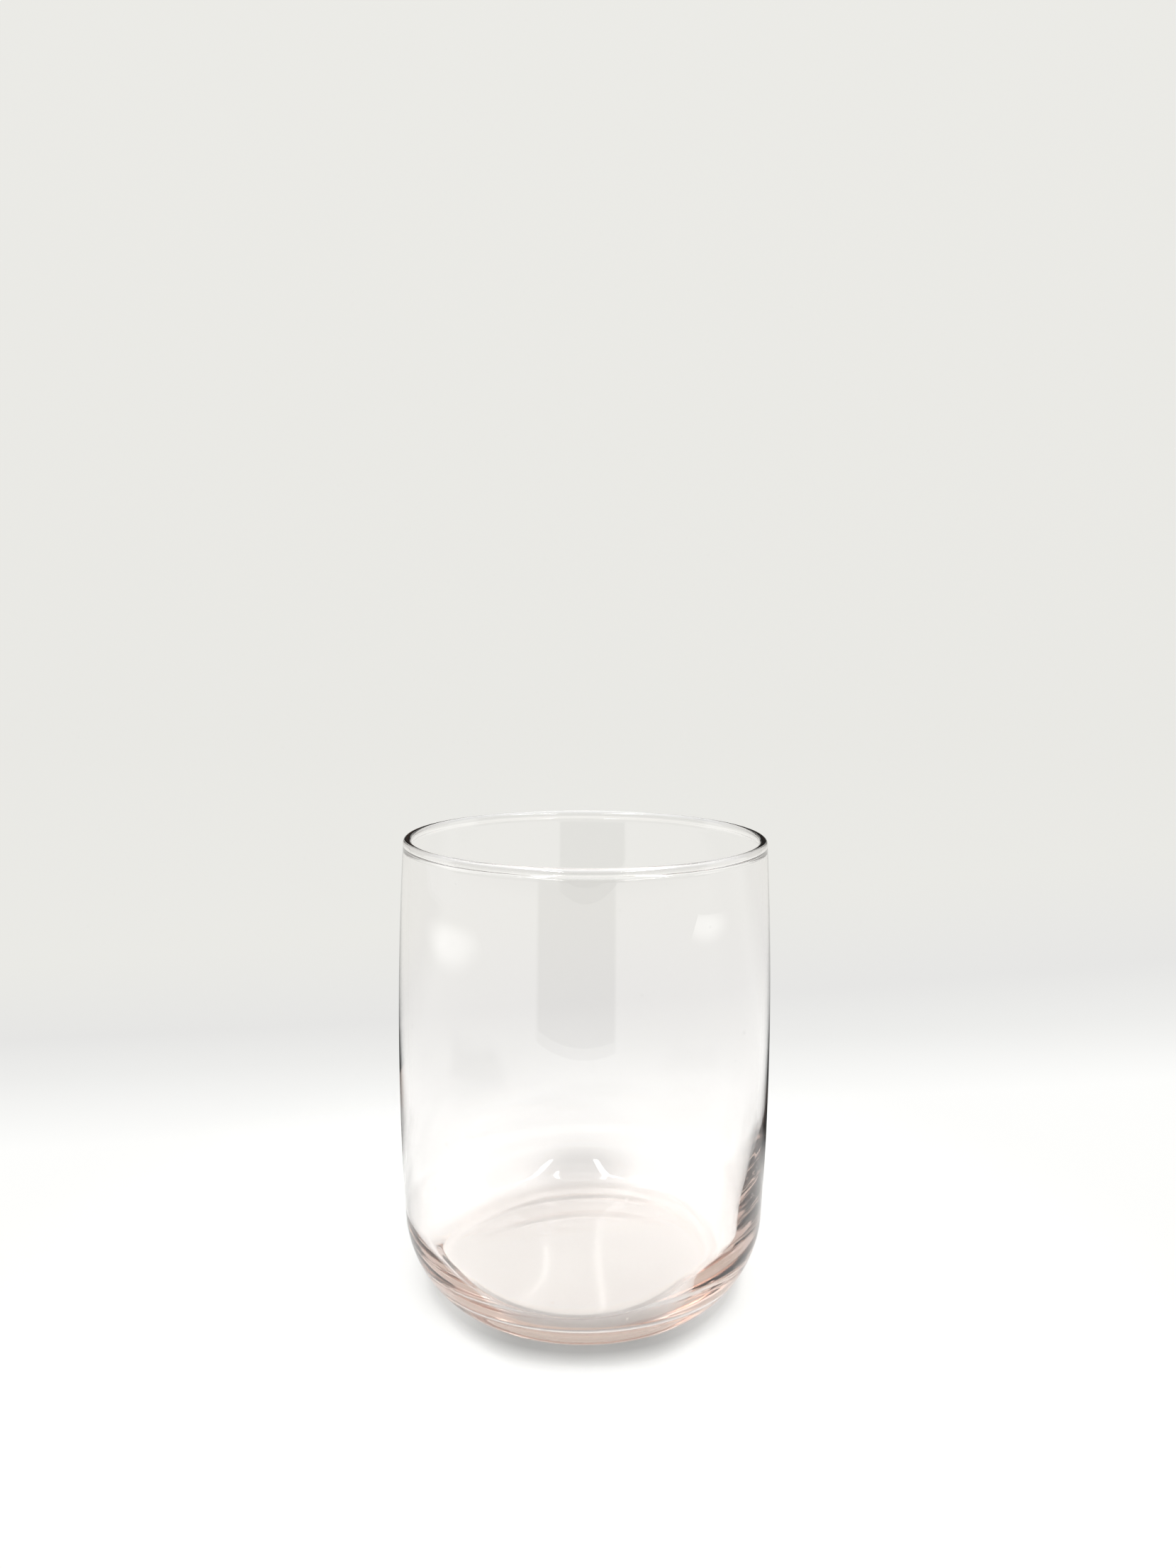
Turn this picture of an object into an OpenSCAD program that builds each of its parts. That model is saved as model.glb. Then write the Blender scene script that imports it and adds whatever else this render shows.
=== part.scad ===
// Drinking tumbler: one revolved glass with a fire-polished rim bead, a
// slightly barrelled wall, a deep round heel and a barely pushed-up base.
// The section is one closed outline of tangent arcs, X outwards and Y up, and
// the tumbler is that outline revolved.

/* [Overall] */
// Height from the table to the top of the rim
height = 100; // [90:1:110]
// Outside width across the rim bead
rim_w = 79.2; // [72:0.2:88]
// How far the barrelled wall swells out beyond the rim, on each side
belly = 1.3; // [0.8:0.1:2.4]
// Height of the greatest outside width
barrel_z = 54; // [46:1:60]

/* [Rim bead] */
// Height of the bead
bead_h = 2.5; // [2.4:0.1:3.2]
// How far the bead stands out from the wall below it, outside
bead_out = 0.08; // [0.04:0.02:0.2]
// How far the bead stands in from the wall below it, inside
bead_in = 0.37; // [0.2:0.05:0.5]

/* [Wall] */
// Thickness of the wall just below the bead
wall_top = 1.45; // [1.2:0.05:1.6]
// Difference between the greatest outside and inside radii
wall_mid = 1.65; // [1.5:0.05:2.2]
// Height of the greatest inside width
bore_z = 60; // [54:1:66]

/* [Heel] */
// How far the heel draws in from the greatest width to the ring, on each side
heel_w = 11; // [9.5:0.1:12.5]
// Radius of the heel outside
heel_r = 21.7; // [19:0.1:25]
// Radius of the toe, where the heel turns under to the base
toe_r = 4; // [3:0.5:6]
// Radius of the heel inside
heel_in_r = 22; // [18:0.5:27]
// Radius of the corner where that heel turns into the floor
toe_in_r = 5; // [3.5:0.5:7]
// How far the centre of that corner lies in from the greatest width
toe_in_w = 11.4; // [10.4:0.1:12.6]

/* [Base] */
// Width of the flat of the ring that the tumbler stands on
ring_flat = 1; // [0.8:0.1:3]
// Height of the inside floor above the table, at its middle
floor_z = 4.5; // [4:0.5:7.5]
// Radius of the bowl of the inside floor
floor_r = 600; // [400:50:1200]
// Rise of the pushed-up base at its middle
punt_h = 0.5; // [0.3:0.1:1.2]

/* [Hidden] */
$fn = 240;
GLASS = [0.96, 0.87, 0.85];
// How far the outline's chords may lie from their true arcs.
chord_gap = 0.01;

// Lengths and centres that follow from the values above.
rim_r = rim_w / 2;
barrel_r = rim_r + belly;
ring_r = barrel_r - heel_w;
bead_r = (wall_top + bead_out + bead_in) / 2;
bead_top_c = [rim_r - bead_r, height - bead_r];
bead_low_c = [rim_r - bead_r, height - bead_h + bead_r];
neck_z = bead_low_c[1];
neck_r = rim_r - bead_out;
neck_in_r = neck_r - wall_top;
bore_r = barrel_r - wall_mid;

// Radius of an arc that bulges most at one height and has drawn in by
// `drop` at a distance `rise` from there.
function bulge_radius(drop, rise) = (rise * rise + drop * drop) / (2 * drop);

// Where two circles cross, on the left of the way from a to b (side = 1) or
// on the right (side = -1). It finds where two arcs meet, and also the
// centre of an arc that touches both of its neighbours.
function crossing(a, ra, b, rb, side) =
    let (d = norm(b - a),
         u = (b - a) / d,
         along = (d * d + ra * ra - rb * rb) / (2 * d),
         off = sqrt(ra * ra - along * along))
    a + along * u + side * off * [-u[1], u[0]];

// Direction from one point to another, in degrees.
function heading(from, to) = atan2(to[1] - from[1], to[0] - from[0]);

// Points along an arc, without its first one, which ends the arc before it.
function arc(c, r, from, to) =
    let (n = ceil(abs(to - from) / (2 * acos(1 - chord_gap / r))))
    [for (i = [1:n]) let (a = from + (to - from) * i / n)
        c + r * [cos(a), sin(a)]];

// Outside: toe, heel and wall, each arc tangent to the next.
wall_r = bulge_radius(barrel_r - neck_r, neck_z - barrel_z);
wall_c = [barrel_r - wall_r, barrel_z];
toe_c = [ring_r, toe_r];
heel_c = crossing(wall_c, wall_r - heel_r, toe_c, heel_r - toe_r, 1);
wall_end = crossing(wall_c, wall_r, bead_low_c, bead_r, -1);

// Inside: bore, heel, corner and the bowl of the floor, tangent in the same
// way.
bore_arc_r = bulge_radius(bore_r - neck_in_r, neck_z - bore_z);
bore_c = [bore_r - bore_arc_r, bore_z];
bore_start = crossing(bore_c, bore_arc_r, bead_low_c, bead_r, -1);
floor_c = [0, floor_z + floor_r];
toe_in_x = barrel_r - toe_in_w;
toe_in_drop = sqrt(pow(floor_r - toe_in_r, 2) - toe_in_x * toe_in_x);
toe_in_c = [toe_in_x, floor_c[1] - toe_in_drop];
heel_in_c = crossing(bore_c, bore_arc_r - heel_in_r,
                     toe_in_c, heel_in_r - toe_in_r, 1);

// Underside: a shallow dome that springs from the ring's inner edge.
dome_edge = ring_r - ring_flat;
punt_r = bulge_radius(punt_h, dome_edge);
punt_c = [0, punt_h - punt_r];

function underside() = concat(
    [[0, punt_h]],
    arc(punt_c, punt_r, 90, heading(punt_c, [dome_edge, 0])),
    [[ring_r, 0]]);

function outer_skin() = concat(
    arc(toe_c, toe_r, -90, heading(heel_c, toe_c)),
    arc(heel_c, heel_r, heading(heel_c, toe_c), heading(wall_c, heel_c)),
    arc(wall_c, wall_r, heading(wall_c, heel_c), heading(wall_c, wall_end)));

function rim_bead() = concat(
    arc(bead_low_c, bead_r, heading(bead_low_c, wall_end), 0),
    [bead_top_c + [bead_r, 0]],
    arc(bead_top_c, bead_r, 0, 90),
    arc(bead_top_c, bead_r, 90, 180),
    [bead_low_c - [bead_r, 0]],
    arc(bead_low_c, bead_r, -180, heading(bead_low_c, bore_start)));

function inner_skin() = concat(
    arc(bore_c, bore_arc_r, heading(bore_c, bore_start),
        heading(bore_c, heel_in_c)),
    arc(heel_in_c, heel_in_r, heading(bore_c, heel_in_c),
        heading(heel_in_c, toe_in_c)),
    arc(toe_in_c, toe_in_r, heading(heel_in_c, toe_in_c),
        heading(floor_c, toe_in_c)),
    arc(floor_c, floor_r, heading(floor_c, toe_in_c), -90));

module tumbler() {
    color(GLASS)
        rotate_extrude()
            polygon(concat(underside(), outer_skin(), rim_bead(),
                           inner_skin()));
}

tumbler();
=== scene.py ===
# %% [markdown]
# A drinking tumbler, made in one piece: a round glass with a thin wall, a small
# bead melted along its rim and a deep round heel. This lesson dresses the packed
# model in glass, stands it on a white sheet and lights it softly. The frame comes
# first, because it says where the tumbler is and how large it is.

# %% Load the frame
from math import atan2, ceil, cos, degrees, hypot, pi, radians, sin, sqrt

import bpy
from mathutils import Matrix, Vector


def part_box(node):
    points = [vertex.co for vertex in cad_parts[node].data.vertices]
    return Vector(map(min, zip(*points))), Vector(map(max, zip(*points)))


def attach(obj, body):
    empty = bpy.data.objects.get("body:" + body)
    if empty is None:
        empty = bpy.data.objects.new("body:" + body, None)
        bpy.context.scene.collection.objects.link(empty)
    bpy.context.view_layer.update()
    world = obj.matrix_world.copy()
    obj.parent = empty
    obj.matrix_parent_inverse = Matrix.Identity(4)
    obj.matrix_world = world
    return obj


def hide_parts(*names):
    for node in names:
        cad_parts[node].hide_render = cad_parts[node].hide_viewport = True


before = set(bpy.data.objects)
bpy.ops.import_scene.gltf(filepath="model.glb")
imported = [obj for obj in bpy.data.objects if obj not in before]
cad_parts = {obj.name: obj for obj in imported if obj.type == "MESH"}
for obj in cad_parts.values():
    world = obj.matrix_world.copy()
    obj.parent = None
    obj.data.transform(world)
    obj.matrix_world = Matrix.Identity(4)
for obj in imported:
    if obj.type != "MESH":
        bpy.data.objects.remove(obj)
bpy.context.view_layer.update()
low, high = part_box("tumbler")
MM = 0.001
print("packed nodes:", sorted(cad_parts))
print("tumbler box (mm):", [round(v / MM, 2) for v in (*low, *high)])

# %% [markdown]
# The camera stands close, a little above the rim, and looks down by a few
# degrees, so that the round rim shows as an open ellipse. Its place was found by
# matching the rim, the two sides and the foot of the glass. A lens is best stated
# by its focal length in picture widths, since that is what decides perspective.

# %% Camera
PICTURE_W = 1659
FOCAL_PX = 1725.0
SENSOR_W = 36.0
CLIP = (0.01, 20.0)
CAMERA_AT = Vector((0.0, -264.49, 142.88)) * MM
LOOK_DOWN = radians(6.811)
LOOK_RIGHT = radians(0.1087)
ROLL = radians(0.3169)


def camera_axes(down, right, roll):
    """The camera's right, up and forward directions."""
    forward = Vector((sin(right) * cos(down), cos(right) * cos(down), -sin(down)))
    level = Vector((cos(right), -sin(right), 0.0))
    upright = level.cross(forward)
    x_axis = cos(roll) * level + sin(roll) * upright
    y_axis = cos(roll) * upright - sin(roll) * level
    return x_axis, y_axis, forward


def add_camera():
    x_axis, y_axis, forward = camera_axes(LOOK_DOWN, LOOK_RIGHT, ROLL)
    lens = bpy.data.cameras.new("studio_camera")
    lens.sensor_fit = "HORIZONTAL"
    lens.sensor_width = SENSOR_W
    lens.lens = FOCAL_PX / PICTURE_W * SENSOR_W
    lens.clip_start, lens.clip_end = CLIP
    obj = bpy.data.objects.new("studio_camera", lens)
    turn = Matrix((x_axis, y_axis, -forward)).transposed()
    obj.matrix_world = Matrix.Translation(CAMERA_AT) @ turn.to_4x4()
    bpy.context.scene.collection.objects.link(obj)
    return obj


camera = add_camera()
bpy.context.scene.camera = camera
print("lens: %.2f mm" % camera.data.lens)

# %% [markdown]
# A turned or blown glass is fully described by half of its section. It is drawn
# here as one chain of arcs, each tangent to the next, as a mould maker would draw
# it: a sharp corner would show at once, because glass bends light so strongly.
# The sizes are in millimetres, and the overall ones come from the frame. The bead
# is a plain round, as a flame leaves it: light that runs up inside the wall gets
# out through a round bead, where a taller one keeps it in and turns dark.

# %% Sizes of the section
HEIGHT = (high[2] - low[2]) / MM
BARREL_R = (high[0] - low[0]) / 2 / MM
BELLY = 1.3
BARREL_Z = 54.0
BEAD_H = 1.95
BEAD_OUT = 0.08
BEAD_IN = 0.37
WALL_TOP = 1.45
WALL_MID = 1.65
BORE_Z = 60.0
HEEL_W = 11.0
HEEL_R = 21.7
TOE_R = 4.0
HEEL_IN_R = 22.0
TOE_IN_R = 5.0
TOE_IN_W = 11.4
FLOOR_Z = 4.5
FLOOR_R = 600.0
RING_FLAT = 1.0
PUNT_H = 0.5
print("height %.1f mm, greatest radius %.2f mm" % (HEIGHT, BARREL_R))

# %% [markdown]
# Two helpers carry the whole drawing. Where two circles cross gives the centre of
# an arc that touches both of its neighbours, and the radius of a bulge follows
# from how far the wall draws in over a given height.

# %% Helpers for tangent arcs


def crossing(a, ra, b, rb, side):
    """Where two circles cross, on the left (1) or right (-1) of the way from a to b."""
    apart = hypot(b[0] - a[0], b[1] - a[1])
    ux, uz = (b[0] - a[0]) / apart, (b[1] - a[1]) / apart
    along = (apart * apart + ra * ra - rb * rb) / (2 * apart)
    off = side * sqrt(ra * ra - along * along)
    return a[0] + along * ux - off * uz, a[1] + along * uz + off * ux


def heading(a, b):
    """Direction from one point to another, in radians."""
    return atan2(b[1] - a[1], b[0] - a[0])


def bulge_radius(drop, rise):
    """Radius of an arc that has drawn in by drop at a distance rise from its widest."""
    return (rise * rise + drop * drop) / (2 * drop)


def arc(centre, radius, start, end, step):
    """Points along an arc without its first one, at most step degrees apart."""
    count = max(1, ceil(abs(end - start) / radians(step)))
    turns = [start + (end - start) * i / count for i in range(1, count + 1)]
    return [(centre[0] + radius * cos(t), centre[1] + radius * sin(t)) for t in turns]


print("a bulge of 1 mm over 40 mm has a radius of %.1f mm" % bulge_radius(1.0, 40.0))

# %% [markdown]
# The section runs from the middle of the underside outwards, up the outside, over
# the bead and down the inside to the middle of the floor. Long shallow arcs get
# small steps, so that the highlights slide over them without a facet, and the
# short round ones get larger steps, which keeps the mesh light.

# %% The section of the glass
LONG_STEP = 0.1
FLOOR_STEP = 0.12
HEEL_STEP = 2.5
TOE_STEP = 5
BEAD_STEP = 7
BEAD_FOOT_STEP = 8


def outer_section(bead_low, bead_top, bead_r, bore_start):
    """The underside, the outside and the bead, up to where the bore starts."""
    ring_r = BARREL_R - HEEL_W
    neck_r = BARREL_R - BELLY - BEAD_OUT
    wall_r = bulge_radius(BARREL_R - neck_r, bead_low[1] - BARREL_Z)
    wall_c = (BARREL_R - wall_r, BARREL_Z)
    toe_c = (ring_r, TOE_R)
    heel_c = crossing(wall_c, wall_r - HEEL_R, toe_c, HEEL_R - TOE_R, 1)
    wall_end = crossing(wall_c, wall_r, bead_low, bead_r, -1)
    edge_r = ring_r - RING_FLAT
    punt_r = bulge_radius(PUNT_H, edge_r)
    punt_c = (0.0, PUNT_H - punt_r)
    toe_turn, heel_turn = heading(heel_c, toe_c), heading(wall_c, heel_c)
    return (
        [(0.0, PUNT_H)]
        + arc(punt_c, punt_r, pi / 2, atan2(-punt_c[1], edge_r), LONG_STEP)
        + [(ring_r, 0.0)]
        + arc(toe_c, TOE_R, -pi / 2, toe_turn, TOE_STEP)
        + arc(heel_c, HEEL_R, toe_turn, heel_turn, HEEL_STEP)
        + arc(wall_c, wall_r, heel_turn, heading(wall_c, wall_end), LONG_STEP)
        + arc(bead_low, bead_r, heading(bead_low, wall_end), 0, BEAD_FOOT_STEP)
        + [(bead_top[0] + bead_r, bead_top[1])]
        + arc(bead_top, bead_r, 0, pi / 2, BEAD_STEP)
        + arc(bead_top, bead_r, pi / 2, pi, BEAD_STEP)
        + [(bead_low[0] - bead_r, bead_low[1])]
        + arc(bead_low, bead_r, -pi, heading(bead_low, bore_start), BEAD_FOOT_STEP)
    )


def inner_section(bore_c, bore_r, bore_start):
    """The bore, the heel inside, its corner and the floor."""
    floor_c = (0.0, FLOOR_Z + FLOOR_R)
    toe_x = BARREL_R - TOE_IN_W
    toe_c = (toe_x, floor_c[1] - sqrt((FLOOR_R - TOE_IN_R) ** 2 - toe_x**2))
    heel_c = crossing(bore_c, bore_r - HEEL_IN_R, toe_c, HEEL_IN_R - TOE_IN_R, 1)
    heel_turn, toe_turn = heading(bore_c, heel_c), heading(heel_c, toe_c)
    floor_turn = heading(floor_c, toe_c)
    return (
        arc(bore_c, bore_r, heading(bore_c, bore_start), heel_turn, LONG_STEP)
        + arc(heel_c, HEEL_IN_R, heel_turn, toe_turn, HEEL_STEP)
        + arc(toe_c, TOE_IN_R, toe_turn, floor_turn, TOE_STEP)
        + arc(floor_c, FLOOR_R, floor_turn, -pi / 2, FLOOR_STEP)
    )


def glass_section():
    rim_r = BARREL_R - BELLY
    bead_r = (WALL_TOP + BEAD_OUT + BEAD_IN) / 2
    bead_top = (rim_r - bead_r, HEIGHT - bead_r)
    bead_low = (rim_r - bead_r, HEIGHT - BEAD_H + bead_r)
    widest = BARREL_R - WALL_MID
    neck_in_r = rim_r - BEAD_OUT - WALL_TOP
    bore_r = bulge_radius(widest - neck_in_r, bead_low[1] - BORE_Z)
    bore_c = (widest - bore_r, BORE_Z)
    bore_start = crossing(bore_c, bore_r, bead_low, bead_r, -1)
    outer = outer_section(bead_low, bead_top, bead_r, bore_start)
    return outer, inner_section(bore_c, bore_r, bore_start)


outer_part, inner_part = glass_section()
section = outer_part + inner_part
print("section points: %d outside, %d inside" % (len(outer_part), len(inner_part)))

# %% [markdown]
# Node trees are easier to read when the calls that build them are short. This
# helper adds nodes to any tree, of geometry, of a material or of the world, and
# feeds each input with a socket or with a plain number.

# %% Helper for node trees


class Graph:
    """A node tree, with short calls for the nodes that the lesson uses most."""

    def __init__(self, tree):
        self.nodes, self.links = tree.nodes, tree.links

    def add(self, kind, **settings):
        """Adds a node and sets its properties by name."""
        node = self.nodes.new(kind)
        for name, value in settings.items():
            setattr(node, name, value)
        return node

    def feed(self, slot, source):
        """Feeds an input with a socket or a plain value."""
        if hasattr(source, "links"):
            self.links.new(source, slot)
        else:
            slot.default_value = source

    def wire(self, target, *sources, **named):
        """Feeds a node's first inputs in order, and others by name."""
        for slot, source in zip(target.inputs, sources):
            self.feed(slot, source)
        for name, source in named.items():
            self.feed(target.inputs[name.replace("_", " ")], source)
        return target.outputs[0]

    def maths(self, operation, *sources):
        return self.wire(self.add("ShaderNodeMath", operation=operation), *sources)

    def product(self, first, *others):
        for other in others:
            first = self.maths("MULTIPLY", first, other)
        return first

    def between(self, value, start, end, first, last):
        """first up to start, last from end on, and a smooth step between the two."""
        node = self.add("ShaderNodeMapRange", interpolation_type="SMOOTHSTEP")
        return self.wire(node, value, start, end, first, last)

    def vector(self, operation, *sources):
        return self.wire(self.add("ShaderNodeVectorMath", operation=operation), *sources)

    def length(self, value):
        node = self.add("ShaderNodeVectorMath", operation="LENGTH")
        self.feed(node.inputs[0], value)
        return node.outputs["Value"]

    def xyz(self, *parts):
        return self.wire(self.add("ShaderNodeCombineXYZ"), *parts)

    def parts(self, value):
        node = self.add("ShaderNodeSeparateXYZ")
        self.feed(node.inputs[0], value)
        return tuple(node.outputs)

    def noise(self, spot, scale, detail, **settings):
        """A noise texture, of which the first output is the value."""
        node = self.add("ShaderNodeTexNoise", **settings)
        self.wire(node, Vector=spot, Scale=scale, Detail=detail)
        return node


print("helper for node trees:", Graph.__name__)

# %% [markdown]
# Turning the section into a glass is a rule, so Geometry Nodes do it. The tree
# lays out a grid with one row for each point of the section and one column for
# each step round the axis, moves every grid point to its place, and welds the
# seam and the two poles. A real glass is never perfect, and clear glass shows it:
# the wall sways by a few hundredths of a millimetre and has faint level rings,
# which break up its edge lines, and the lower part of the bowl sits a little to
# one side, which makes the heel thicker on one side than on the other.

# %% Sizes for the turning tree
TURNING_INPUTS = {
    "Steps Around": ("NodeSocketInt", 256),
    "Ripple Depth": ("NodeSocketFloat", 0.03 * MM),
    "Ripples Around": ("NodeSocketFloat", 9.0),
    "Ripple Stretch": ("NodeSocketFloat", 60.0 * MM),
    "Ripple Bottom": ("NodeSocketFloat", 1.0 * MM),
    "Ripple Full": ("NodeSocketFloat", 8.0 * MM),
    "Ripple Top": ("NodeSocketFloat", 60.0 * MM),
    "Fine Depth": ("NodeSocketFloat", 0.004 * MM),
    "Fine Length": ("NodeSocketFloat", 2.5 * MM),
    "Bowl Shift": ("NodeSocketFloat", -1.2 * MM),
    "Bowl Bottom": ("NodeSocketFloat", 12.0 * MM),
    "Bowl Top": ("NodeSocketFloat", 42.0 * MM),
    "Inside From": ("NodeSocketInt", len(outer_part)),
    "Seed": ("NodeSocketInt", 7),
    "Weld Distance": ("NodeSocketFloat", 0.001 * MM),
}
print("the turning tree takes:", ", ".join(TURNING_INPUTS))

# %% [markdown]
# The grid's vertices are counted column by column, so a vertex's index gives its
# row, which is the point of the section, and its column, which is the angle. The
# ripples are a noise on a cylinder: it closes on itself round the glass, and it is
# stretched or squeezed along the height. Both ripples fade out towards the rim.

# %% Rows, columns and ripples


def grid_place(graph, given):
    """A grid with a vertex for each point and step, and each one's row and angle."""
    count = graph.add("GeometryNodeAttributeDomainSize", component="MESH")
    graph.feed(count.inputs["Geometry"], given["Section"])
    points = count.outputs["Point Count"]
    grid = graph.add("GeometryNodeMeshGrid")
    graph.feed(grid.inputs["Vertices X"], graph.maths("ADD", given["Steps Around"], 1.0))
    graph.feed(grid.inputs["Vertices Y"], points)
    index = graph.add("GeometryNodeInputIndex").outputs[0]
    row = graph.maths("MODULO", index, points)
    column = graph.maths("FLOOR", graph.maths("DIVIDE", index, points))
    share = graph.maths("DIVIDE", column, given["Steps Around"])
    return grid.outputs["Mesh"], row, graph.maths("MULTIPLY", share, 2 * pi)


def section_point(graph, given, row):
    """Radius and height of the section's point for a row."""
    sample = graph.add("GeometryNodeSampleIndex", data_type="FLOAT_VECTOR", domain="POINT")
    position = graph.add("GeometryNodeInputPosition").outputs[0]
    graph.wire(sample, Geometry=given["Section"], Value=position, Index=row)
    radius, _, height = graph.parts(sample.outputs[0])
    return radius, height


def ripple(graph, given, ring, height, length, depth):
    """How far a ripple moves the wall, at a length and depth named in the inputs."""
    spot = graph.xyz(*ring, graph.maths("DIVIDE", height, given[length]))
    noise = graph.noise(spot, 1.0, 1.0, noise_dimensions="4D")
    graph.feed(noise.inputs["W"], given["Seed"])
    level = graph.maths("SUBTRACT", noise.outputs["Fac"], 0.5)
    fade = graph.between(height, 0.0, given["Ripple Top"], 1.0, 0.0)
    lift = graph.between(height, given["Ripple Bottom"], given["Ripple Full"], 0.0, 1.0)
    return graph.product(level, given[depth], fade, lift)


print("ripples: %.3f and %.3f mm" % tuple(
    TURNING_INPUTS[name][1] / MM for name in ("Ripple Depth", "Fine Depth")))

# %% [markdown]
# The tree itself only has to join these steps. It ends by realising its instances
# and setting the material, so that what is baked from it is a plain mesh.

# %% Node tree that turns a section


def turning_tree(finish):
    tree = bpy.data.node_groups.new("turn_glass", "GeometryNodeTree")
    sockets = tree.interface
    sockets.new_socket("Section", in_out="INPUT", socket_type="NodeSocketGeometry")
    for name, (kind, value) in TURNING_INPUTS.items():
        sockets.new_socket(name, in_out="INPUT", socket_type=kind).default_value = value
    sockets.new_socket("Glass", in_out="OUTPUT", socket_type="NodeSocketGeometry")
    graph = Graph(tree)
    given = graph.add("NodeGroupInput").outputs
    grid, row, angle = grid_place(graph, given)
    radius, height = section_point(graph, given, row)
    cosine, sine = graph.maths("COSINE", angle), graph.maths("SINE", angle)
    ring = [graph.maths("MULTIPLY", part, given["Ripples Around"]) for part in (cosine, sine)]
    slow = ripple(graph, given, ring, height, "Ripple Stretch", "Ripple Depth")
    fine = ripple(graph, given, ring, height, "Fine Length", "Fine Depth")
    swayed = graph.maths("ADD", radius, graph.maths("ADD", slow, fine))
    last_outside = graph.maths("SUBTRACT", given["Inside From"], 0.5)
    inside = graph.maths("GREATER_THAN", row, last_outside)
    shift = graph.between(height, given["Bowl Bottom"], given["Bowl Top"], given["Bowl Shift"], 0.0)
    across = graph.maths("MULTIPLY", swayed, cosine)
    x = graph.maths("ADD", across, graph.maths("MULTIPLY", inside, shift))
    spot = graph.xyz(x, graph.maths("MULTIPLY", swayed, sine), height)
    turned = graph.wire(graph.add("GeometryNodeSetPosition"), Geometry=grid, Position=spot)
    weld = graph.add("GeometryNodeMergeByDistance")
    welded = graph.wire(weld, Geometry=turned, Distance=given["Weld Distance"])
    smooth = graph.wire(graph.add("GeometryNodeSetShadeSmooth"), Geometry=welded)
    real = graph.wire(graph.add("GeometryNodeRealizeInstances"), smooth)
    coat = graph.add("GeometryNodeSetMaterial")
    glass = graph.wire(coat, Geometry=real, Material=finish)
    graph.feed(graph.add("NodeGroupOutput").inputs["Glass"], glass)
    return tree


print("steps round the glass:", TURNING_INPUTS["Steps Around"][1])

# %% [markdown]
# The glass is clear and tinted pink right through, so the colour belongs in the
# volume and not on the surface: thin walls stay clear, and the heel, where light
# travels far inside the glass, turns rosy brown by itself. The surface is fire
# polished, and only a rare dull speck, such as dust leaves, breaks the polish.

# %% Glass
GLASS_IOR = 1.52
TINT = (0.50, 0.22, 0.08)
TINT_DENSITY = 10.5
DUST_SCALE = 420.0
DUST_DETAIL = 1.0
DUST_FROM = 0.77
DUST_FULL = 0.81
DUST_ROUGHNESS = 0.25


def glass_material():
    material = bpy.data.materials.new("rose_glass")
    material.use_nodes = True
    graph = Graph(material.node_tree)
    shader = graph.nodes["Principled BSDF"]
    shader.inputs["Base Color"].default_value = (1.0, 1.0, 1.0, 1.0)
    shader.inputs["IOR"].default_value = GLASS_IOR
    shader.inputs["Transmission Weight"].default_value = 1.0
    spot = graph.add("ShaderNodeTexCoord").outputs["Object"]
    dust = graph.noise(spot, DUST_SCALE, DUST_DETAIL, noise_dimensions="3D").outputs["Fac"]
    specks = graph.between(dust, DUST_FROM, DUST_FULL, 0.0, DUST_ROUGHNESS)
    graph.feed(shader.inputs["Roughness"], specks)
    mass = graph.add("ShaderNodeVolumeAbsorption")
    mass.inputs["Color"].default_value = (*TINT, 1.0)
    mass.inputs["Density"].default_value = TINT_DENSITY
    graph.feed(graph.nodes["Material Output"].inputs["Volume"], mass.outputs[0])
    return material


rose_glass = glass_material()
print("glass: index %.2f, tint density %.1f per metre" % (GLASS_IOR, TINT_DENSITY))

# %% [markdown]
# A live modifier could turn the glass each time the file opens. It is baked to a
# plain mesh once instead, because other programs read a mesh and not a tree. The
# inputs are set by their identifiers before the first evaluation. The baked glass
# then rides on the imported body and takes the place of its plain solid.

# %% Turn the glass and bake it


def section_object(points):
    mesh = bpy.data.meshes.new("section")
    steps = [(i, i + 1) for i in range(len(points) - 1)]
    mesh.from_pydata([(r * MM, 0.0, z * MM) for r, z in points], steps, [])
    obj = bpy.data.objects.new("section", mesh)
    bpy.context.scene.collection.objects.link(obj)
    return obj


def turn(points, tree, name):
    source = section_object(points)
    modifier = source.modifiers.new("turning", "NODES")
    modifier.node_group = tree
    sockets = {s.name: s.identifier for s in tree.interface.items_tree if s.in_out == "INPUT"}
    for input_name, (_, value) in TURNING_INPUTS.items():
        modifier[sockets[input_name]] = value
    view = bpy.context.evaluated_depsgraph_get()
    baked = bpy.data.meshes.new_from_object(source.evaluated_get(view), depsgraph=view)
    source.modifiers.remove(modifier)
    bpy.data.objects.remove(source)
    baked.name = name
    obj = bpy.data.objects.new(name, baked)
    bpy.context.scene.collection.objects.link(obj)
    return obj


tumbler = turn(section, turning_tree(rose_glass), "tumbler_glass")
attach(tumbler, "root")
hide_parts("tumbler")
print("glass: %d points, %d faces" % (len(tumbler.data.vertices), len(tumbler.data.polygons)))

# %% [markdown]
# The glass stands on a white sheet that rises into a wall behind it, as a sheet of
# paper hung in a studio does. Its bend is a quarter round, so that no line shows
# where the floor ends. It lies a hair below the ring, since two faces in one plane
# would flicker.

# %% Shape of the sheet
SHEET_FRONT = -0.235
SHEET_BACK = 0.26
SHEET_HALF = 0.60
SHEET_TOP = 0.75
SHEET_BEND = 0.10
BEND_STEPS = 16
SHEET_Z = -0.1 * MM


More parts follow.
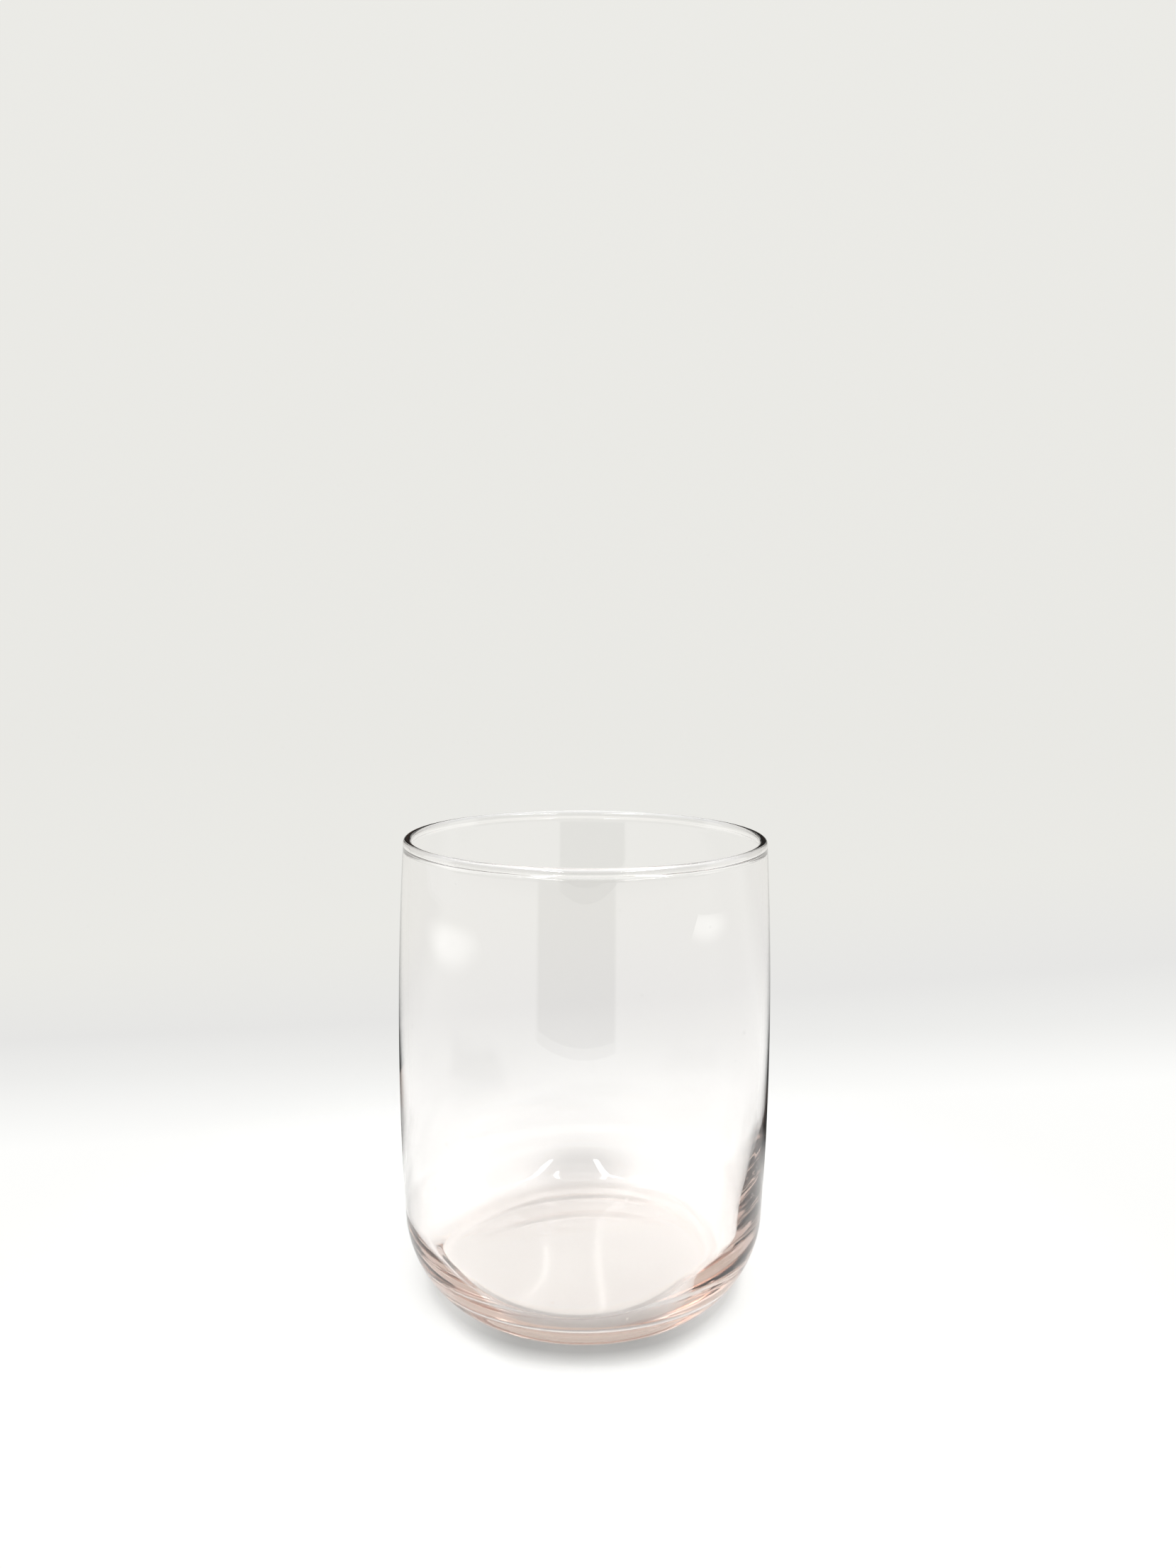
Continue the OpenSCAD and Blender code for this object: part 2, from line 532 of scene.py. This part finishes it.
def sheet_object():
    turns = [pi / 2 * i / BEND_STEPS for i in range(BEND_STEPS + 1)]
    bend = [(SHEET_BACK - SHEET_BEND * (1 - sin(a)), SHEET_BEND * (1 - cos(a))) for a in turns]
    profile = [(SHEET_FRONT, 0.0)] + bend + [(SHEET_BACK, SHEET_TOP)]
    corners = [(x, y, z + SHEET_Z) for y, z in profile for x in (-SHEET_HALF, SHEET_HALF)]
    faces = [(2 * i, 2 * i + 1, 2 * i + 3, 2 * i + 2) for i in range(len(profile) - 1)]
    mesh = bpy.data.meshes.new("white_sheet")
    mesh.from_pydata(corners, [], faces)
    mesh.polygons.foreach_set("use_smooth", [True] * len(faces))
    obj = bpy.data.objects.new("white_sheet", mesh)
    bpy.context.scene.collection.objects.link(obj)
    return obj


sheet = sheet_object()
print("sheet: %.0f mm deep to its wall" % ((SHEET_BACK - SHEET_FRONT) / MM))

# %% [markdown]
# The sheet's tone goes by the place on it and by the kind of ray that lands there,
# so a few helpers come first: a colour ramp through given stops, the same over a
# distance in millimetres, a soft round patch, and a test for the rays that show a
# thing. In reflections, a ray through glass also counts as glossy, so a true
# reflection is what is left when those are taken off.

# %% Helpers for tones and rays
PATCH_CORE = 0.2


def ramp(graph, source, stops):
    """A colour ramp through (position, colour) pairs."""
    node = graph.add("ShaderNodeValToRGB")
    graph.feed(node.inputs[0], source)
    elements = node.color_ramp.elements
    while len(elements) < len(stops):
        elements.new(0.5)
    for element, (position, colour) in zip(elements, stops):
        element.position = position
        element.color = (*colour, 1.0)
    return node.outputs[0]


def radial(graph, distance, stops):
    """A ramp of plain values over a distance, with its stops in millimetres."""
    reach = stops[-1][0]
    across = graph.maths("DIVIDE", distance, reach * MM)
    return ramp(graph, across, [(r / reach, (v, v, v)) for r, v in stops])


def ellipse(graph, spot, centre, size):
    """1 at the centre of a soft round patch on the sheet, 0 beyond its edge."""
    scale = (1.0 / size[0], 1.0 / size[1], 0.0)
    shift = (-centre[0] / size[0], -centre[1] / size[1], 0.0)
    off = graph.length(graph.vector("MULTIPLY_ADD", spot, scale, shift))
    return graph.between(off, PATCH_CORE, 1.0, 1.0, 0.0)


def seen_ray(graph, path):
    """1 for rays that show a thing: from the camera, off a gloss or through glass."""
    most = graph.maths("MAXIMUM", path["Is Camera Ray"], path["Is Glossy Ray"])
    return graph.maths("MAXIMUM", most, path["Is Transmission Ray"])


def scaled(graph, colour, amount):
    """A colour times a plain value."""
    node = graph.add("ShaderNodeVectorMath", operation="SCALE")
    return graph.wire(node, colour, Scale=amount)


print("a soft patch is full over the inner %.0f percent" % (100 * PATCH_CORE))

# %% [markdown]
# Everything below depends on the same few facts: how far the spot is from the
# tumbler's axis, whether it is beside the foot or behind it, and how the ray came.
# They are worked out once. Lengths on the sheet are in metres here, as pairs of
# where an effect starts and where it is full.

# %% Where a ray lands
BESIDE = (12.0 * MM, 31.0 * MM)
REAR = (-28.0 * MM, -15.0 * MM)


class Landing:
    """Sockets that say where on the sheet a ray lands, and what kind of ray it is."""

    def __init__(self, graph):
        self.spot = graph.add("ShaderNodeTexCoord").outputs["Object"]
        self.x, self.y, self.z = graph.parts(self.spot)
        self.wide = graph.maths("ABSOLUTE", self.x)
        self.away = graph.length(self.spot)
        self.way_back = graph.maths("ADD", self.y, self.z)
        path = graph.add("ShaderNodeLightPath").outputs
        self.seen = seen_ray(graph, path)
        self.through = path["Is Transmission Ray"]
        bounced = graph.maths("SUBTRACT", path["Is Glossy Ray"], self.through)
        self.gloss = graph.maths("MAXIMUM", bounced, 0.0)
        self.sideways = graph.between(self.wide, *BESIDE, 0.0, 1.0)
        behind = graph.between(self.y, *REAR, 0.0, 1.0)
        self.rear = graph.maths("MULTIPLY", behind, self.through)


print("beside the foot: from %.0f to %.0f mm off the middle" % tuple(v / MM for v in BESIDE))

# %% [markdown]
# The plain sheet is white in front and pale grey on its wall. Over its bend a
# painted shade fades in, darkest in the fold, at a slight slant across the sheet.
# Where the glass stands, a narrow painted contact shadow lies in a ring under the
# heel. It is weaker at the sides, and seen through the glass it shows only in front.

# %% Plain tone, painted fold shade and painted shadow under the heel
FLOOR_TONE = (1.0, 1.0, 0.985)
# Fade, bend and fold tones: painted shade over the bend of the sheet.
FADE_TONE = (0.93, 0.93, 0.915)
BEND_TONE = (0.86, 0.86, 0.845)
FOLD_TONE = (0.800, 0.797, 0.785)
WALL_TONE = (0.827, 0.823, 0.790)
TONE_STOPS = [
    (0.090, FLOOR_TONE), (0.120, FADE_TONE), (0.150, BEND_TONE), (0.190, FOLD_TONE),
    (0.26, WALL_TONE)]
FOLD_SLANT = 0.17
# Painted contact shadow: the share of tone kept, by distance from the axis in mm.
CONTACT_SHADOW_RING = [
    (0, 1.0), (29, 1.0), (30, 0.58), (33.5, 0.55), (36, 0.72), (39, 0.92), (41, 1.0), (60, 1.0)]
CONTACT_SHADOW_SIDE_LIFT = 0.25


def plain_tone(graph, at):
    slant = graph.maths("MULTIPLY", at.x, FOLD_SLANT)
    depth = graph.maths("ADD", graph.maths("SUBTRACT", at.y, slant), at.z)
    return ramp(graph, depth, TONE_STOPS)


def contact_shadow_share(graph, at):
    """How much of its tone the sheet keeps under the painted contact shadow at the heel."""
    contact_share = radial(graph, at.away, CONTACT_SHADOW_RING)
    contact_share = graph.maths("ADD", contact_share, graph.maths("MULTIPLY", at.sideways, CONTACT_SHADOW_SIDE_LIFT))
    return graph.maths("MINIMUM", graph.maths("MAXIMUM", contact_share, at.rear), 1.0)


print("darkest share under the heel: %.2f" % min(value for _, value in CONTACT_SHADOW_RING))

# %% [markdown]
# Clear glass shows its shape by what it mirrors. A real room is darker towards
# its sides than this small sheet, so a shade is painted on the sheet that shows
# only in reflections, by how far back it is. The middle of the wall is spared,
# where the glass mirrors it head on, and so is the floor far out to the sides.

# %% Painted shade in reflections
PAINTED_GLOSS_SHADE = [
    (0, 0.0), (40, 0.0), (70, 0.95), (160, 0.95), (200, 0.5), (260, 0.1), (330, 0.15),
    (380, 0.95), (520, 0.95)]
GLOSS_RISE = (40.0 * MM, 60.0 * MM)
GLOSS_MIDDLE = (8.0 * MM, 30.0 * MM)
GLOSS_REACH = (80.0 * MM, 130.0 * MM)


# Painted shade, seen only in reflections, that stands in for a darker room.
def painted_reflection_shade(graph, at):
    back = radial(graph, at.way_back, PAINTED_GLOSS_SHADE)
    high_up = graph.between(at.z, *GLOSS_RISE, 0.0, 1.0)
    middle = graph.between(at.wide, *GLOSS_MIDDLE, 1.0, 0.0)
    spared = graph.maths("SUBTRACT", 1.0, graph.maths("MULTIPLY", high_up, middle))
    reach = graph.between(at.wide, *GLOSS_REACH, 1.0, high_up)
    return graph.product(back, spared, reach, at.gloss)


print("greatest loss in reflections: %.2f" % max(value for _, value in PAINTED_GLOSS_SHADE))

# %% [markdown]
# The thick heel looks out sideways over the floor and shows it as dark streaks.
# For these a shade is painted on the floor beside the foot, seen only through the
# glass, more on the right than on the left, where the heel is thinner. A soft
# shadow is painted on the sheet behind the glass, and the wall above is painted a
# little brighter where it is seen through the glass.

# %% Painted shade and light seen through the glass
SIDE_SPREAD = 0.155
SIDE_INNER = (46.0 * MM, 62.0 * MM)
SIDE_OUTER = (85.0 * MM, 100.0 * MM)
SIDE_FLOOR = (40.0 * MM, 65.0 * MM)
SIDE_BACK = (-25.0 * MM, -10.0 * MM)
PAINTED_SIDE_SHADES = ((1.0, 0.6), (-1.0, 0.45))
SHADE_AT = (0.0, 48.0 * MM)
SHADE_SIZE = (19.0 * MM, 24.0 * MM)
SHADE_DEPTH = 0.26
UPPER = (105.0 * MM, 150.0 * MM)
PAINTED_UPPER_LIGHT = 0.14


# Painted shade on the floor beside the foot, seen only through the glass.
def painted_side_shade(graph, at):
    floor_only = graph.between(at.way_back, *SIDE_FLOOR, 1.0, 0.0)
    back_half = graph.between(at.y, *SIDE_BACK, 0.0, 1.0)
    shown = graph.product(floor_only, back_half, at.through)
    aside = graph.maths("MULTIPLY", at.y, SIDE_SPREAD)
    total = 0.0
    for sign, amount in PAINTED_SIDE_SHADES:
        out = graph.maths("SUBTRACT", graph.maths("MULTIPLY", at.x, sign), aside)
        inner = graph.between(out, *SIDE_INNER, 0.0, amount)
        outer = graph.between(out, *SIDE_OUTER, 1.0, 0.0)
        total = graph.maths("ADD", total, graph.product(inner, outer, shown))
    return total


def share_after_painted_shade(graph, at):
    """How much of its tone the sheet keeps after its painted shades and painted light."""
    loss = graph.maths("ADD", painted_reflection_shade(graph, at), painted_side_shade(graph, at))
    # A painted shadow on the sheet behind the glass.
    shade = ellipse(graph, at.spot, SHADE_AT, SHADE_SIZE)
    loss = graph.maths("MULTIPLY_ADD", shade, SHADE_DEPTH, loss)
    # Painted light on the upper wall, seen only through the glass.
    upper = graph.between(at.z, *UPPER, 0.0, PAINTED_UPPER_LIGHT)
    loss = graph.maths("SUBTRACT", loss, graph.maths("MULTIPLY", upper, at.through))
    return graph.maths("MAXIMUM", graph.maths("SUBTRACT", 1.0, loss), 0.0)


print("loss beside the foot: %.2f right, %.2f left" % tuple(amount for _, amount in PAINTED_SIDE_SHADES))

# %% [markdown]
# The sheet takes a real shadow round the foot, and further out its brightness is
# its own, so the background keeps the same pale tone however the lamps are set.
# Painted light lifts that shadow a little beside the foot. A real glass also
# gathers light on the table under and behind it, which a path tracer finds only
# by luck, so that light is painted into the sheet as a glow: blushed by the tint,
# and seen only through the glass. Two patches of light are painted on the floor
# at the sides, seen only in reflections, for the wall of the glass to mirror.

# %% The sheet's own light and its painted light
SHADOW = (70.0 * MM, 150.0 * MM)
SHADOW_SHARE = 0.90
FAR_SHARE = 0.05
NEAR_GLOW = 0.22
# Painted light that lifts the shadow beside the foot.
PAINTED_SIDE_LIGHT = 0.07
PAINTED_SIDE_LIGHT_END = (45.0 * MM, 90.0 * MM)
# Painted light that the glass would gather under and behind it.
GATHERED = [
    (0, 0.15), (26, 0.14), (29, 0.13), (30.5, 0.10), (34, 0.04), (50, 0.02), (80, 0.0)]
GATHERED_BACK = [(0, 0.0), (29, 0.0), (31, 0.17), (38, 0.20), (50, 0.15), (80, 0.0)]
BLUSH = (1.0, 0.86, 0.80)
# Painted patches of light on the floor, seen only in reflections.
PAINTED_LIGHT_PATCHES = [((-0.45, -0.06), (0.11, 0.22)), ((0.54, -0.17), (0.10, 0.22))]
PAINTED_PATCH_GLOW = 2.0


# Painted gathered light, seen only through the glass.
def gathered_light(graph, at):
    from_axis = graph.length(graph.vector("MULTIPLY", at.spot, (1.0, 1.0, 0.0)))
    under = radial(graph, from_axis, GATHERED)
    behind = graph.maths("MULTIPLY", radial(graph, from_axis, GATHERED_BACK), at.rear)
    return graph.maths("MULTIPLY", graph.maths("ADD", under, behind), at.through)


# The sheet's own brightness, plus painted light beside the foot and painted patches.
def own_and_painted_light(graph, at):
    own_and_painted = graph.between(at.away, *SHADOW, NEAR_GLOW, 1.0 - FAR_SHARE)
    beside = graph.between(at.away, *PAINTED_SIDE_LIGHT_END, PAINTED_SIDE_LIGHT, 0.0)
    own_and_painted = graph.maths("ADD", own_and_painted, graph.maths("MULTIPLY", beside, at.sideways))
    for centre, size in PAINTED_LIGHT_PATCHES:
        lit = graph.maths("MULTIPLY", ellipse(graph, at.spot, centre, size), at.gloss)
        own_and_painted = graph.maths("MULTIPLY_ADD", lit, PAINTED_PATCH_GLOW, own_and_painted)
    return own_and_painted


def sheet_material():
    material = bpy.data.materials.new("white_sheet")
    material.use_nodes = True
    graph = Graph(material.node_tree)
    graph.nodes.remove(graph.nodes["Principled BSDF"])
    at = Landing(graph)
    # Plain tone with painted fold shade, painted contact shadow and painted shades.
    tone = scaled(graph, plain_tone(graph, at), contact_shadow_share(graph, at))
    tone = scaled(graph, tone, share_after_painted_shade(graph, at))
    share = graph.between(at.away, *SHADOW, SHADOW_SHARE, FAR_SHARE)
    cloth = graph.add("ShaderNodeBsdfDiffuse")
    graph.feed(cloth.inputs["Color"], scaled(graph, tone, share))
    # Painted gathered light and painted patches join the sheet's own brightness.
    gathered, own_and_painted = gathered_light(graph, at), own_and_painted_light(graph, at)
    light = graph.xyz(*[graph.maths("MULTIPLY_ADD", gathered, part, own_and_painted) for part in BLUSH])
    glow = graph.add("ShaderNodeEmission")
    graph.wire(glow, Color=graph.vector("MULTIPLY", tone, light), Strength=at.seen)
    both = graph.wire(graph.add("ShaderNodeAddShader"), cloth.outputs[0], glow.outputs[0])
    graph.feed(graph.nodes["Material Output"].inputs["Surface"], both)
    return material


sheet.data.materials.append(sheet_material())
print("sheet nodes:", len(sheet.data.materials[0].node_tree.nodes))

# %% [markdown]
# The room is a white light box with a brighter ceiling. Clear glass has no colour
# of its own to show its shape. It shows the room instead, so the side that the
# camera looks in from is dark, as a room beyond a lit table is, and darkest in an
# opening at its middle. That dark draws the lines round the heel and the rim. The
# camera itself sees a plain pale backdrop wherever the sheet ends.

# %% Light box
AMBIENT = 1.0
BOX_WHITE = 1.0
CEILING_WHITE = 1.8
CEILING_LOW = radians(50)
CEILING_EDGE = radians(4)
ROOM_TONE = 0.06
ROOM_HALF = radians(86)
ROOM_EDGE = radians(3)
ROOM_LOW = radians(-4)
ROOM_TOP = radians(38)
OPENING_DARK = 0.10
OPENING_HALF = radians(23)
OPENING_EDGE = radians(1.5)
OPENING_TURN = radians(-5)
OPENING_LOW = radians(-100)
OPENING_TOP = radians(4)
BACKDROP_TONE = 0.80
BACKDROP_FADE = radians(6)


def patch(graph, off, rise, limits, edge):
    """1 inside a patch of directions, fading to 0 over its edges."""
    half, bottom, top = limits
    across = graph.between(off, half - edge, half + edge, 1.0, 0.0)
    below = graph.between(rise, top - edge, top + edge, 1.0, 0.0)
    above = graph.between(rise, bottom - edge, bottom + edge, 0.0, 1.0)
    return graph.maths("MULTIPLY", across, graph.maths("MULTIPLY", below, above))


def mix(graph, share, first, last):
    """first where share is 0, last where it is 1."""
    return graph.wire(graph.add("ShaderNodeMapRange"), share, 0.0, 1.0, first, last)


def box_light(graph, path):
    """Strength of the box in a ray's direction."""
    x, y, z = graph.parts(graph.add("ShaderNodeTexCoord").outputs["Generated"])
    side = graph.maths("ARCTAN2", x, graph.maths("MULTIPLY", y, -1.0))
    off = graph.maths("ABSOLUTE", graph.maths("SUBTRACT", side, OPENING_TURN))
    rise = graph.maths("ARCSINE", z)
    start, end = CEILING_LOW - CEILING_EDGE, CEILING_LOW + CEILING_EDGE
    shown = graph.between(rise, start, end, BOX_WHITE, CEILING_WHITE)
    room = patch(graph, off, rise, (ROOM_HALF, ROOM_LOW, ROOM_TOP), ROOM_EDGE)
    shown = mix(graph, room, shown, ROOM_TONE)
    opening = patch(graph, off, rise, (OPENING_HALF, OPENING_LOW, OPENING_TOP), OPENING_EDGE)
    shown = mix(graph, opening, shown, OPENING_DARK)
    backdrop = graph.between(rise, -BACKDROP_FADE, BACKDROP_FADE, BOX_WHITE, BACKDROP_TONE)
    return mix(graph, path["Is Camera Ray"], shown, backdrop)


def light_box():
    world = bpy.data.worlds.new("light_box")
    bpy.context.scene.world = world
    world.use_nodes = True
    graph = Graph(world.node_tree)
    path = graph.add("ShaderNodeLightPath").outputs
    seen = seen_ray(graph, path)
    shown = graph.maths("MULTIPLY", box_light(graph, path), seen)
    soft = graph.maths("MULTIPLY", graph.maths("SUBTRACT", 1.0, seen), AMBIENT)
    background = graph.nodes["Background"]
    background.inputs["Color"].default_value = (1.0, 1.0, 1.0, 1.0)
    graph.feed(background.inputs["Strength"], graph.maths("ADD", shown, soft))


light_box()
print("opening: %.0f degrees wide" % degrees(2 * OPENING_HALF))

# %% [markdown]
# One large soft lamp overhead gives the sheet its shadow and nothing else. Two
# long strips in front are there for the glass alone: they light nothing, and show
# as the bright streaks in the back of the heel. Splitting the work in this way
# lets the streaks be placed without a change to the shadow.

# %% Lamps
SOFT_SIZE = (0.60, 0.50)
SOFT_AT = (0.0, 0.06, 0.60)
SOFT_POWER = 1.35
STRIP_SIZE = (0.05, 0.50)
STRIP_Y = -0.33
STRIP_Z = 0.42
STRIP_POWER = 3.0
STRIP_LEFT = -0.15
STRIP_RIGHT = 0.25
STRIP_LEAN = 1.0 * MM


def lamp(name, spot, aim, size, power, mirrored=True):
    """A rectangular lamp, which either shows in the glass or lights the sheet."""
    data = bpy.data.lights.new(name, "AREA")
    data.shape = "RECTANGLE"
    data.size, data.size_y = size
    data.energy = power
    obj = bpy.data.objects.new(name, data)
    obj.location = spot
    obj.rotation_euler = (Vector(aim) - Vector(spot)).to_track_quat("-Z", "Y").to_euler()
    obj.visible_camera = False
    obj.visible_diffuse = not mirrored
    obj.visible_glossy = mirrored
    obj.visible_transmission = mirrored
    bpy.context.scene.collection.objects.link(obj)
    return obj


def strip(name, x):
    aim = (x, STRIP_Y + STRIP_LEAN, 0.0)
    return lamp(name, (x, STRIP_Y, STRIP_Z), aim, STRIP_SIZE, STRIP_POWER)


soft_top = lamp("soft_top", SOFT_AT, (0.0, 0.0, 0.0), SOFT_SIZE, SOFT_POWER, mirrored=False)
strips = [strip("strip_left", STRIP_LEFT), strip("strip_right", STRIP_RIGHT)]
print("lamps:", 1 + len(strips))

# %% [markdown]
# Last, the view is set to show colours plainly. Light that is caught in the thick
# glass bounces many times before it gets out, so the limit on bounces is higher
# than usual.

# %% Bounces and view
GLASS_BOUNCES = 32
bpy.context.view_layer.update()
bpy.context.scene.view_settings.view_transform = "Standard"
bpy.context.scene.cycles.max_bounces = GLASS_BOUNCES
bpy.context.scene.cycles.transmission_bounces = GLASS_BOUNCES
bpy.context.scene.cycles.glossy_bounces = GLASS_BOUNCES
